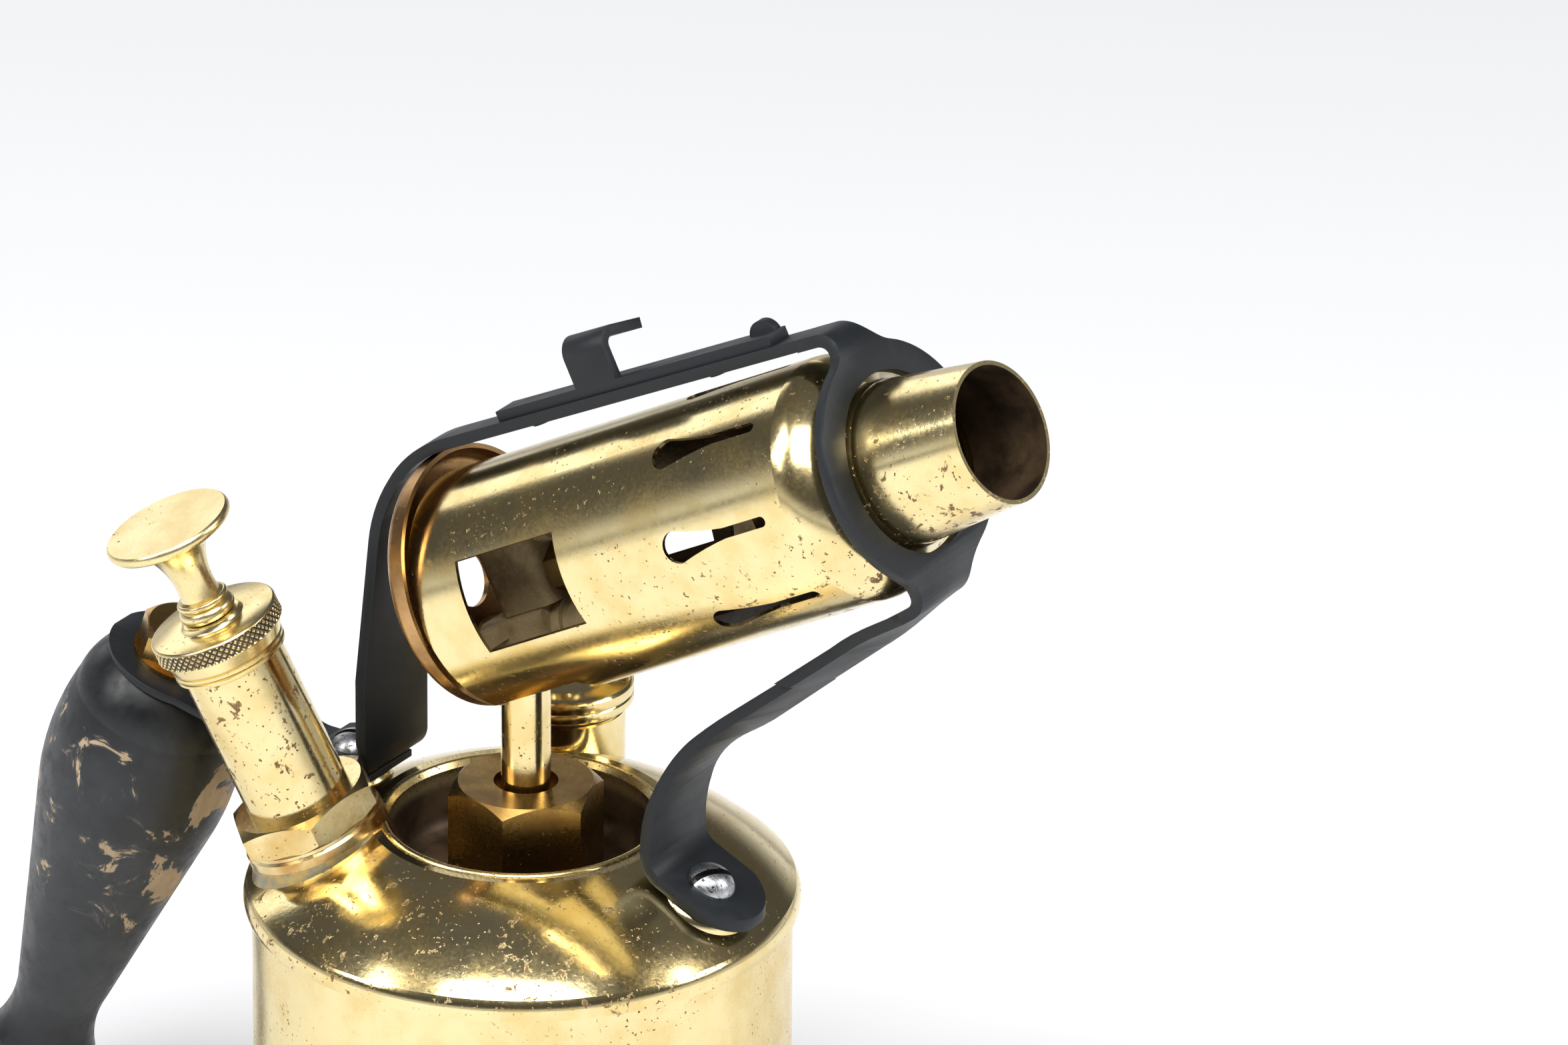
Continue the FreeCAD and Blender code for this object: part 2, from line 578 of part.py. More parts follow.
def foot_plan():
    """Plan outline that rounds the ends of both feet."""
    core = Part.makeBox(80, 60, 260, V(-38, -30, 0))
    front = Part.makeCylinder(FRONT_HALF + 0.4, 130, V(41.4, FRONT_SHIFT, 0))
    rear = Part.makeCylinder(LEG_HALF + 0.4, 130, V(-36.5, 0, 0))
    high = Part.makeBox(160, 80, 200, V(-60, -40, SEAM_Z + 36))
    return core.fuse([front, rear, high])


def strap_top(x):
    """Height of the strap's upper face along its straight top arm."""
    slope = math.radians(ARM_SLOPE)
    return REAR_TOP_Z + (x - REAR_X) * math.tan(slope) + STRAP_T / 2 / math.cos(slope)


REST_T = 2.0


def rest_frame(x):
    """Frame on the strap's top arm: local x runs forward along it and local z stands off it."""
    slope = math.radians(ARM_SLOPE)
    forward = V(math.cos(slope), 0, math.sin(slope))
    return frame(V(x, 0, strap_top(x)), forward, V(-forward.z, 0, forward.x))


REST_START_X = -3.0
REST_LENGTH = 66.0
RIVET_AT = (7.0, 50.0)
RIVET_R = 1.25
HOOK_AT = 24.5           # middle of the hook, along the rest
HOOK_HEIGHT = 9.8
LUG_AT = 62.0
LUG_HEIGHT = 1.4


def iron_rest():
    """Strip on the strap with a side hook and a side lug, to lay a soldering iron in."""
    half = 2.9
    strip = Part.makeBox(REST_LENGTH, 2 * half, REST_T, V(0, -half, 0))
    hook_path = [(-half + REST_T / 2, 0.0), (-half + REST_T / 2, HOOK_HEIGHT), (10.0, HOOK_HEIGHT - 2.4)]
    bent = band(hook_path, [2.6], REST_T, 4.8)
    bent.rotate(V(), V(0, 0, 1), 90)
    bent.translate(V(HOOK_AT, 0, REST_T / 2))
    lug = Part.makeBox(6.0, REST_T, LUG_HEIGHT, V(LUG_AT - 3.0, half - REST_T, 0))
    lug = lug.fuse(Part.makeCylinder(3.0, REST_T, V(LUG_AT, half - REST_T, LUG_HEIGHT), V(0, 1, 0)))
    lug = lug.common(Part.makeBox(8.0, 2 * half, 8.0, V(LUG_AT - 4.0, -half, 0)))
    rest = strip.fuse([bent, lug])
    for x in RIVET_AT:
        rest = rest.cut(disc(RIVET_R, -1, 7, x))
    return put(rest, rest_frame(REST_START_X))


def rest_rivets():
    """The two identical rivets, flush with the rest and with a low head under the strap."""
    tail = -STRAP_T - 0.6
    rivet = turned(
        (0, tail), (1.7, tail), (2.0, tail + 0.3), (2.0, -STRAP_T), (RIVET_R, -STRAP_T), (RIVET_R, REST_T),
        (0, REST_T))
    places = [FreeCAD.Placement(V(x, 0, 0), FreeCAD.Rotation()) for x in RIVET_AT]
    return [put(put(rivet, place), rest_frame(REST_START_X)) for place in places]


POST_STEM_R = 4.0        # part of a screw post that goes through the shoulder
SCREW_R = 2.0
SCREW_LENGTH = 9.5


def screw_post(placement, profile, stem_length):
    """Post soldered through the shoulder, its top at local z = 0, with a blind hole for a strap screw."""
    above = put(turned(*profile), placement).cut(shoulder_solid(0.0))
    stem = put(disc(POST_STEM_R, -stem_length, -0.5), placement)
    hole = put(disc(SCREW_R, 1.0 - stem_length, 1.0), placement)
    return above.fuse(stem).cut(hole)


FRONT_POST = FOOT.multiply(FreeCAD.Placement(V(0, 0, -STRAP_T / 2), FreeCAD.Rotation()))
REAR_POST = FreeCAD.Placement(V(REAR_SCREW_X, 0, REAR_BOSS_Z), FreeCAD.Rotation())


def front_post():
    profile = ((0, -9), (9.2, -9), (9.2, -3.0), ((8.6, -1.1), (6.4, 0)), (0, 0))
    return screw_post(FRONT_POST, profile, 12.0)


def rear_post():
    profile = ((0, -9), (7.5, -9), (7.5, -2.6), ((6.8, -1.1), (5.6, 0)), (0, 0))
    return screw_post(REAR_POST, profile, 9.0)


def strap_screws():
    """The two identical slotted screws that hold the strap's feet."""
    screw = slotted_screw(4.5, 3.0, SCREW_R, SCREW_LENGTH)
    front = screw.copy()
    front.rotate(V(), V(0, 0, 1), 62)
    rear = screw.copy()
    rear.rotate(V(), V(0, 0, 1), 20)
    front_seat = FreeCAD.Placement(V(0, 0, STRAP_T), FreeCAD.Rotation())
    rear_seat = FreeCAD.Placement(V(0, 0, BRACKET_T + STRAP_T), FreeCAD.Rotation())
    return [put(front, FRONT_POST.multiply(front_seat)), put(rear, REAR_POST.multiply(rear_seat))]


# ---------------------------------------------------------------- pump

COLLAR_TOP = 2.9         # heights along the pump, from where its axis meets the shoulder
WASHER_T = 0.6
COLLAR_R = 13.5
COLLAR_BOTTOM = -12.0


def pump_collar():
    collar = turned(
        (11.0, COLLAR_BOTTOM), (COLLAR_R, COLLAR_BOTTOM), (COLLAR_R, 2.3), (COLLAR_R - 0.5, COLLAR_TOP), (11.0, COLLAR_TOP))
    return put(collar, PUMP)


def pump_fillet():
    """Solder run round the foot of the pump collar, on the shoulder's outer face."""
    run = turned((COLLAR_R, -14), (18.4, -14), (18.4, -5.2), ((15.1, -3.3), (COLLAR_R, 0.6)))
    pieces = put(run, PUMP).cut([shoulder_solid(0.0), disc(CUP_R + 3.2, 0, 150),
                                  disc(80.0, 0, SEAM_Z + 3.0)]).Solids
    return max(pieces, key=lambda piece: piece.Volume)


def pump_washer():
    return put(tube(13.2, 11.0, COLLAR_TOP, COLLAR_TOP + WASHER_T), PUMP)


def pump_nut():
    low = COLLAR_TOP + WASHER_T
    nut = hex_nut(NUT_AF, low, low + 5.8, BARREL_R, first=8.0, chamfer=1.3, both=True)
    thread = tube(10.95, BARREL_R, low - 12.0, low)
    return put(nut.fuse(thread), PUMP)


def pump_barrel():
    barrel = tube(BARREL_R, BARREL_R - BARREL_WALL, BARREL_BOTTOM, BARREL_TOP)
    return put(barrel, PUMP)


def pump_cap():
    """Screw cap on the pump barrel: a grip band, a tapered skirt, two fine grooves and a guide boss."""
    cap = turned(
        (3.0, CAP_TOP - 4.5), (BARREL_R, CAP_TOP - 4.5), (BARREL_R, 39.8), (10.5, 39.8), (10.9, 40.1),
        (10.9, 40.6), (10.5, 40.9), (10.9, 41.2), (10.9, 41.7), (10.5, 42.0), (11.0, 42.3), (11.8, 44.7),
        (12.4, 45.0), (12.4, CAP_TOP - 0.5), (11.9, CAP_TOP), (6.2, CAP_TOP), (5.9, CAP_TOP + 0.3),
        (5.7, CAP_TOP + 0.9), (5.3, CAP_TOP + 1.1), (3.0, CAP_TOP + 1.1))
    return put(cap, PUMP)


KNOB_BASE = CAP_TOP + 1.3
KNOB_TOP = 69.3


def pump_knob():
    b = KNOB_BASE
    knob = turned(
        (0, b), (4.9, b), ((5.4, b + 1.1), (4.8, b + 2.2)), (4.3, b + 2.5), ((5.0, b + 3.1), (4.4, b + 3.8)),
        (3.8, b + 4.2), ((4.35, b + 11.2), (7.4, KNOB_TOP - 3.0)), (11.6, KNOB_TOP - 2.0),
        ((12.2, KNOB_TOP - 1.0), (11.7, KNOB_TOP)), (0, KNOB_TOP))
    return put(knob.cut(disc(2.0, b - 1, b + 7)), PUMP)


def pump_rod():
    rod = disc(3.0 - RUN, BARREL_BOTTOM + 12.0, KNOB_BASE)
    tip = disc(2.0, BARREL_BOTTOM + 3.6, BARREL_BOTTOM + 12.0)
    stub = disc(2.0, KNOB_BASE, KNOB_BASE + 7.0)
    return put(rod.fuse([tip, stub]), PUMP)


def pump_leather():
    """Cup leather, open downwards so that the down stroke seals."""
    low = BARREL_BOTTOM + 3.2
    r = BARREL_R - BARREL_WALL - RUN
    cup = turned((2.0, low + 4.4), (r - 1.6, low + 4.4), (r - 1.4, low), (r, low), (r, low + 5.0),
                 ((r - 0.3, low + 5.9), (r - 1.2, low + 6.4)), (2.0, low + 6.4))
    return put(cup, PUMP)


def leather_washers():
    low = BARREL_BOTTOM + 3.2
    upper = tube(7.4, 2.0, low + 6.4, low + 7.6)
    lower = tube(6.0, 2.0, low + 3.4, low + 4.4)
    return [put(upper, PUMP), put(lower, PUMP)]


def rod_nut():
    low = BARREL_BOTTOM + 3.2
    return put(hex_nut(7.0, low + 0.8, low + 3.4, 2.0, chamfer=0.4), PUMP)


VALVE_BOTTOM = BARREL_BOTTOM - 13.0


def valve_body():
    """Non-return valve screwed into the barrel's lower end, its seat facing down."""
    inner = BARREL_R - BARREL_WALL
    body = turned(
        (1.2, BARREL_BOTTOM), (1.2, BARREL_BOTTOM + 2.4), (inner, BARREL_BOTTOM + 2.4),
        (inner, BARREL_BOTTOM), (BARREL_R, BARREL_BOTTOM), (BARREL_R, BARREL_BOTTOM - 1.5), (6.0, BARREL_BOTTOM - 1.5),
        (6.0, VALVE_BOTTOM), (4.0, VALVE_BOTTOM), (4.0, BARREL_BOTTOM - 2.6), (2.0, BARREL_BOTTOM - 2.6),
        (1.2, BARREL_BOTTOM - 1.8))
    return put(body, PUMP)


def valve_pip():
    """Cork-faced pip that closes the valve from below."""
    top = BARREL_BOTTOM - 2.6
    pip = disc(4.0 - RUN * 2, top - 2.6, top).fuse(disc(1.4, top - 6.0, top - 2.6))
    return put(pip, PUMP)


def valve_spring():
    """Coil spring that pushes the pip up."""
    low = VALVE_BOTTOM + 1.6
    high = BARREL_BOTTOM - 5.2
    wire_r = 0.35
    coil_r = 2.9
    helix = Part.makeHelix((high - low - 2 * wire_r) / 4.0, high - low - 2 * wire_r, coil_r)
    circle = Part.Wire(Part.makeCircle(wire_r, V(coil_r, 0, 0), V(0, 1, 0)))
    spring = Part.Wire(helix.Edges).makePipeShell([circle], True, True)
    spring.translate(V(0, 0, low + wire_r))
    return put(spring, PUMP)


def valve_plug():
    return put(turned((1.2, VALVE_BOTTOM - 1.0), (5.4, VALVE_BOTTOM - 1.0), (5.4, VALVE_BOTTOM),
                      (4.0, VALVE_BOTTOM), (4.0, VALVE_BOTTOM + 1.5), (1.2, VALVE_BOTTOM + 1.5)), PUMP)


# ---------------------------------------------------------------- filler

def filler_neck():
    low = SEAM_Z + 4.0
    neck = turned((FILLER_NECK_R - 3.0, low), (FILLER_NECK_R - 1.4, low), (FILLER_NECK_R - 1.4, SEAM_Z + 9.0),
                  (FILLER_NECK_R, SEAM_Z + 9.0), (FILLER_NECK_R, FILLER_TOP_Z - 0.5),
                  (FILLER_NECK_R - 0.5, FILLER_TOP_Z), (FILLER_NECK_R - 3.0, FILLER_TOP_Z))
    neck = put(neck, FILLER)
    skin = shoulder_solid(0.0)
    inside = neck.common(disc(FILLER_NECK_R - 1.4, 0, 200, FILLER_X, FILLER_Y))
    return neck.cut(skin).fuse(inside)


def filler_washer():
    bore = 6.4 + RUN
    return put(tube(FILLER_NECK_R - 0.2, bore, FILLER_TOP_Z, FILLER_TOP_Z + 1.0), FILLER)


def filler_cap():
    """Screw cap with a round flange, a conical top and a wing to turn it by."""
    low = FILLER_TOP_Z + 1.0
    core_r = FILLER_NECK_R - 3.0 - RUN
    cap = turned(
        (0, low - 9.0), (5.8, low - 9.0), (6.4, low - 8.4), (6.4, low), (12.6, low), (13.0, low + 0.4),
        (13.0, low + 1.7), (12.7, low + 2.0), (13.0, low + 2.3), (13.0, low + 4.0), (12.4, low + 4.6),
        (9.2, low + 4.9), ((6.4, low + 6.1), (4.4, low + 8.6)), (4.4, low + 9.6), (3.4, low + 10.4),
        (0, low + 10.4))
    plug = tube(core_r, 6.3, low - 7.5, low - 1.6)
    wing_z = low + 9.6
    wing = Part.makeBox(21.4, 2.4, 3.6, V(-10.7, -1.2, wing_z - 2.6))
    for way in (1, -1):
        ear = Part.makeCylinder(4.6, 2.4, V(way * 11.2, -1.2, wing_z), V(0, 1, 0))
        wing = wing.fuse(ear)
    return put(cap.fuse([plug, wing]), FILLER)


# ---------------------------------------------------------------- handle

def handle_bracket():
    """Steel plate from the rear boss up to the top of the grip, rounded at both ends."""
    plate_z = REAR_BOSS_Z + BRACKET_T / 2
    end = HANDLE.multVec(V(-13.2, 0, BRACKET_T / 2))
    inner = HANDLE.multVec(V(0, 0, BRACKET_T / 2))
    slope = math.tan(math.radians(HANDLE_TILT))
    knee_x = inner.x + (inner.z - plate_z) / slope
    path = [(end.x, end.z), (knee_x, plate_z), (REAR_SCREW_X + 7.0, plate_z)]
    plate = band(path, [8.0], BRACKET_T, 13.0)
    plan = Part.makeCylinder(13.0, 60, V(HANDLE_X + 0.8, 0, SEAM_Z + 5))
    waist = Part.makePolygon([V(HANDLE_X, 12.8, 85), V(-58, 8.6, 85), V(-30, 8.6, 85), V(-30, -8.6, 85),
                              V(-58, -8.6, 85), V(HANDLE_X, -12.8, 85), V(HANDLE_X, 12.8, 85)])
    plan = plan.fuse(Part.Face(waist).extrude(V(0, 0, 60)))
    plate = plate.common(plan)
    plate = plate.cut(put(disc(3.0, -2, 6), HANDLE))
    return plate.cut([disc(SCREW_R + 0.2, plate_z - 4, plate_z + 4, REAR_SCREW_X), pump_relief()])


def handle_grip():
    """Turned wooden grip, fullest below its top and waisted towards its lower end."""
    n = HANDLE_LENGTH
    grip = turned(
        (3.0, 0), (12.2, 0), ((14.6, -3.0), (16.6, -9.0)), ((18.3, -21.0), (17.2, -34.0)),
        ((13.2, -55.0), (8.9, -78.0)), ((8.4, -86.0), (10.0, -92.0)), ((10.0, -97.5), (7.4, -n)), (3.0, -n))
    return put(grip, HANDLE)


def handle_ferrule():
    n = HANDLE_LENGTH
    return put(turned((3.0, -n - 1.6), (6.2, -n - 1.6), (7.2, -n - 0.8), (7.2, -n), (3.0, -n)), HANDLE)


def handle_bolt():
    n = HANDLE_LENGTH + 1.6
    bolt = turned((0, -n - 3.6), ((3.6, -n - 3.0), (5.4, -n)), (3.0, -n), (3.0, BRACKET_T + 7.4),
                  (2.4, BRACKET_T + 8.0), (0, BRACKET_T + 8.0))
    return put(bolt, HANDLE)


def handle_nut():
    nut = hex_nut(15.0, BRACKET_T + 1.0, BRACKET_T + 6.8, 3.0, first=10.0, chamfer=1.0)
    flange = tube(8.6, 3.0, BRACKET_T, BRACKET_T + 1.0)
    return put(nut.fuse(flange), HANDLE)


# ---------------------------------------------------------------- export

def all_nodes():
    return {
        "tank_base": tank_base(),
        "tank_shell": tank_shell(),
        "tank_shoulder": tank_shoulder(),
        "spirit_cup": spirit_cup(),
        "riser_bush": riser_bush(),
        "riser_nut": riser_nut(),
        "riser_tube": riser_tube(),
        "dip_tube": dip_tube(),
        "burner_jacket": burner_jacket(),
        "flame_tube": flame_tube(),
        "vaporiser_loop": vaporiser_loop(),
        "burner_block": burner_block(),
        "jet_body": jet_body(),
        "jet_nipple": jet_nipple(),
        "rear_cap": rear_cap(),
        "cap_screw": cap_screw(),
        "support_strap": support_strap(),
        "iron_rest": iron_rest(),
        "rest_rivets": rest_rivets(),
        "front_post": front_post(),
        "rear_post": rear_post(),
        "strap_screws": strap_screws(),
        "pump_collar": pump_collar(),
        "pump_fillet": pump_fillet(),
        "pump_washer": pump_washer(),
        "pump_nut": pump_nut(),
        "pump_barrel": pump_barrel(),
        "pump_cap": pump_cap(),
        "pump_knob": pump_knob(),
        "pump_rod": pump_rod(),
        "pump_leather": pump_leather(),
        "leather_washers": leather_washers(),
        "rod_nut": rod_nut(),
        "valve_body": valve_body(),
        "valve_pip": valve_pip(),
        "valve_spring": valve_spring(),
        "valve_plug": valve_plug(),
        "filler_neck": filler_neck(),
        "filler_washer": filler_washer(),
        "filler_cap": filler_cap(),
        "handle_bracket": handle_bracket(),
        "handle_grip": handle_grip(),
        "handle_ferrule": handle_ferrule(),
        "handle_bolt": handle_bolt(),
        "handle_nut": handle_nut(),
    }


def main():
    os.makedirs("parts", exist_ok=True)
    for name, shape in all_nodes().items():
        solids = shape if isinstance(shape, list) else shape.Solids
        body = Part.makeCompound(solids) if len(solids) > 1 else solids[0]
        body.exportStep("parts/" + name + ".step")
        print(name, len(solids), round(body.Volume, 1), body.isValid())


main()
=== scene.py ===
"""Looks for the brass blowlamp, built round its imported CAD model."""

import math

import bmesh
import bpy
from mathutils import Matrix, Vector


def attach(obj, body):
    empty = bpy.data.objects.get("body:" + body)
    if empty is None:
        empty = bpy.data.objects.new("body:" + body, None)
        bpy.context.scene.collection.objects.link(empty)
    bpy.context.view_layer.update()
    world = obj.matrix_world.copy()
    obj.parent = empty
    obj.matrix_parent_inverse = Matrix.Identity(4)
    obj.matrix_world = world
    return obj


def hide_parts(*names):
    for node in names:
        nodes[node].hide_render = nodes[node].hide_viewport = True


MM = 0.001
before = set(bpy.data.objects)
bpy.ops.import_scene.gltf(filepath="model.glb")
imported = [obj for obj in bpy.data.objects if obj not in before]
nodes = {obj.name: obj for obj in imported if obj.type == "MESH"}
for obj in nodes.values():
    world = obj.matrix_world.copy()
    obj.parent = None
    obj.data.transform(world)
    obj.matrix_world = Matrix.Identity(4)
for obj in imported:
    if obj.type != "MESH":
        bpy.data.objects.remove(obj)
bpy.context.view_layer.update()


# ---------------------------------------------------------------- frames of the slanted pieces

def point(x, y, z):
    return Vector((x, y, z)) * MM


def axes(origin, x_axis, z_axis):
    """Matrix whose local x and z point along the given directions, in metres."""
    z = z_axis.normalized()
    x = (x_axis - z * x_axis.dot(z)).normalized()
    y = z.cross(x)
    turn = Matrix((x, y, z)).transposed().to_4x4()
    return Matrix.Translation(origin) @ turn


BURNER_TILT = math.radians(28.3)
BURNER_DIR = Vector((math.cos(BURNER_TILT), 0, math.sin(BURNER_TILT)))
BURNER = axes(point(0.8, 0, 145.1), Vector((-BURNER_DIR.z, 0, BURNER_DIR.x)), BURNER_DIR)

PUMP_AZ = math.radians(214.5)
PUMP_TILT = math.radians(23.3)
PUMP_DIR = Vector((math.sin(PUMP_TILT) * math.cos(PUMP_AZ), math.sin(PUMP_TILT) * math.sin(PUMP_AZ),
                   math.cos(PUMP_TILT)))
PUMP = axes(point(37.6 * math.cos(PUMP_AZ), 37.6 * math.sin(PUMP_AZ), 92.5),
            Vector((-math.sin(PUMP_AZ), math.cos(PUMP_AZ), 0)), PUMP_DIR)

HANDLE_TILT = math.radians(20)
HANDLE_UP = Vector((math.sin(HANDLE_TILT), 0, math.cos(HANDLE_TILT)))
HANDLE = axes(point(-78, 0, 107.4), Vector((HANDLE_UP.z, 0, -HANDLE_UP.x)), HANDLE_UP)

FOOT_TILT = math.radians(25)
FRONT_SLOT = math.radians(62)          # how far each screw's slot is turned
REAR_SLOT = math.radians(20)
FOOT_UP = Vector((math.sin(FOOT_TILT), 0, math.cos(FOOT_TILT)))
FOOT_AHEAD = Vector((FOOT_UP.z, 0, -FOOT_UP.x))
FRONT_ALONG = FOOT_AHEAD * math.cos(FRONT_SLOT) + Vector((0, math.sin(FRONT_SLOT), 0))
REAR_ALONG = Vector((math.cos(REAR_SLOT), math.sin(REAR_SLOT), 0))
FRONT_SCREW = axes(point(41.2, 0, 92.9), FRONT_ALONG, FOOT_UP)
REAR_SCREW = axes(point(-37.4, 0, 99.7), REAR_ALONG, Vector((0, 0, 1)))

TANK = Matrix.Identity(4)


# ---------------------------------------------------------------- material helpers

class Nodes:
    """Short calls for building a node tree in metres of the object's own coordinates."""

    def __init__(self, name):
        self.material = bpy.data.materials.new(name)
        self.material.use_nodes = True
        self.tree = self.material.node_tree
        self.shader = self.tree.nodes["Principled BSDF"]
        self.place = self.new("ShaderNodeTexCoord").outputs["Object"]

    def new(self, kind):
        return self.tree.nodes.new(kind)

    def feed(self, socket, value):
        if isinstance(value, bpy.types.NodeSocket):
            self.tree.links.new(value, socket)
        elif value is not None:
            socket.default_value = value

    def noise(self, per_mm, detail=4.0, rough=0.55, stretch=None, distortion=0.0, shift=0.0):
        """Noise whose features are about 1/per_mm millimetres wide."""
        place = self.new("ShaderNodeMapping")
        self.feed(place.inputs["Vector"], self.place)
        place.inputs["Location"].default_value = (shift, shift * 0.7, shift * 0.3)
        place.inputs["Scale"].default_value = stretch or (1, 1, 1)
        node = self.new("ShaderNodeTexNoise")
        self.feed(node.inputs["Vector"], place.outputs["Vector"])
        node.inputs["Scale"].default_value = per_mm * 1000
        node.inputs["Detail"].default_value = detail
        node.inputs["Roughness"].default_value = rough
        node.inputs["Distortion"].default_value = distortion
        return node.outputs["Fac"]

    def step(self, value, low, high, to_low=0.0, to_high=1.0):
        """Smooth step of value between low and high."""
        node = self.new("ShaderNodeMapRange")
        node.interpolation_type = "SMOOTHSTEP"
        self.feed(node.inputs["Value"], value)
        node.inputs["From Min"].default_value = low
        node.inputs["From Max"].default_value = high
        node.inputs["To Min"].default_value = to_low
        node.inputs["To Max"].default_value = to_high
        return node.outputs["Result"]

    def math(self, kind, a, b=None):
        node = self.new("ShaderNodeMath")
        node.operation = kind
        self.feed(node.inputs[0], a)
        self.feed(node.inputs[1], b)
        return node.outputs[0]

    def mix(self, share, a, b):
        """Colour a where share is 0 and b where it is 1."""
        node = self.new("ShaderNodeMix")
        node.data_type = "RGBA"
        self.feed(node.inputs["Factor"], share)
        self.feed(node.inputs["A"], a)
        self.feed(node.inputs["B"], b)
        return node.outputs["Result"]

    def bump(self, height, distance_mm, strength=1.0, under=None):
        node = self.new("ShaderNodeBump")
        self.feed(node.inputs["Height"], height)
        node.inputs["Distance"].default_value = distance_mm * MM
        node.inputs["Strength"].default_value = strength
        self.feed(node.inputs["Normal"], under)
        return node.outputs["Normal"]

    def along(self, matrix):
        """(x, y, z) of the object's own point in a slanted frame, in millimetres."""
        split = []
        inverse = matrix.inverted()
        for row in range(3):
            dot = self.new("ShaderNodeVectorMath")
            dot.operation = "DOT_PRODUCT"
            self.feed(dot.inputs[0], self.place)
            dot.inputs[1].default_value = inverse[row][:3]
            shifted = self.math("ADD", dot.outputs["Value"], inverse[row][3])
            split.append(self.math("MULTIPLY", shifted, 1000.0))
        return split


def colour(hex_code):
    """Linear colour of an sRGB hex code."""
    values = [int(hex_code[k:k + 2], 16) / 255 for k in (0, 2, 4)]
    linear = [v / 12.92 if v <= 0.04045 else ((v + 0.055) / 1.055) ** 2.4 for v in values]
    return (*linear, 1.0)


# ---------------------------------------------------------------- finishes

BRASS = colour("EDDBA6")
BRASS_WARM = colour("E2C98A")
BROWN = colour("6E5634")
TARNISH = colour("8F734A")
DARK_BROWN = colour("3A2A18")


def brass(name, metal=BRASS, warm=BRASS_WARM, rough=0.14, haze=0.12, stain=0.0, pits=0.5, shift=0.0,
          zone=None, soot_and_shade=None, brushed=None):
    """Polished brass with a mottled haze, brown stains and small pits.

    zone is a function that gathers the wear in one place; the function after it darkens a place dark brown:
    real soot in the burner and the cup, and painted shade in the knurl's grooves.
    brushed stretches fine brushing lines along a direction.
    """
    n = Nodes(name)
    gathered = zone(n) if zone else None
    mottle = n.noise(0.09, 5, 0.6, shift=shift)
    fine = n.noise(1.4, 3, 0.6, shift=shift + 1)
    shade = n.mix(n.step(mottle, 0.35, 0.7), metal, warm)
    patch = n.noise(0.3, 8, 0.66, distortion=0.5, shift=shift + 2)
    grain = n.noise(0.9, 4, 0.7, shift=shift + 3)
    edge = 0.73 - 0.08 * stain
    if zone:
        patch = n.math("ADD", patch, n.math("MULTIPLY", gathered, 0.13))
    patches = n.step(n.math("ADD", patch, n.math("MULTIPLY", grain, 0.06)), edge, edge + 0.03)
    dots = n.noise(1.1, 2, 0.5, shift=shift + 4)
    where = n.noise(0.06, 3, 0.6, shift=shift + 5)
    if zone:
        where = n.math("ADD", where, n.math("MULTIPLY", gathered, 0.2))
    spots = n.math("MULTIPLY", n.step(dots, 0.70 - 0.06 * pits, 0.73 - 0.06 * pits), n.step(where, 0.42, 0.6))
    worn = n.math("MAXIMUM", patches, spots)
    mark = n.mix(n.step(grain, 0.35, 0.65), BROWN, TARNISH)
    skin = n.mix(worn, shade, mark)
    metallic = n.step(worn, 0.0, 1.0, 1.0, 0.55)
    if soot_and_shade:
        inside = soot_and_shade(n)
        # Dark brown where the given function says: real soot in the burner and the cup, painted shade in the
        # knurl's grooves.
        soot_and_shade_colour = n.mix(n.step(mottle, 0.35, 0.65), colour("32271C"), colour("64503A"))
        skin = n.mix(inside, skin, soot_and_shade_colour)
        metallic = n.math("MULTIPLY", metallic, n.step(inside, 0, 1, 1, 0.4))
        worn = n.math("MAXIMUM", worn, inside)
    n.feed(n.shader.inputs["Base Color"], skin)
    n.feed(n.shader.inputs["Metallic"], metallic)
    clean = n.step(n.math("ADD", n.math("MULTIPLY", mottle, 0.6), n.math("MULTIPLY", fine, 0.4)), 0.3, 0.75,
                   rough, rough + haze)
    n.feed(n.shader.inputs["Roughness"], n.math("MAXIMUM", clean, n.math("MULTIPLY", worn, 0.5)))
    height = n.math("SUBTRACT", n.math("MULTIPLY", fine, 0.5), worn)
    normal = n.bump(height, 0.035, 0.5)
    if brushed:
        lines = n.noise(1.0, 2, 0.5, stretch=brushed, shift=shift + 6)
        normal = n.bump(lines, 0.012, 0.5, normal)
    n.feed(n.shader.inputs["Normal"], normal)
    return n.material


def black_steel(name):
    """Satin black coated steel with a faint orange-peel."""
    n = Nodes(name)
    wide = n.noise(0.05, 4, 0.6)
    peel = n.noise(2.2, 3, 0.55)
    n.feed(n.shader.inputs["Base Color"], n.mix(wide, colour("17191B"), colour("22262A")))
    n.feed(n.shader.inputs["Metallic"], 0.0)
    n.feed(n.shader.inputs["Specular IOR Level"], 0.32)
    n.feed(n.shader.inputs["Roughness"], n.step(wide, 0.3, 0.7, 0.42, 0.56))
    n.feed(n.shader.inputs["Normal"], n.bump(peel, 0.05, 0.35))
    return n.material


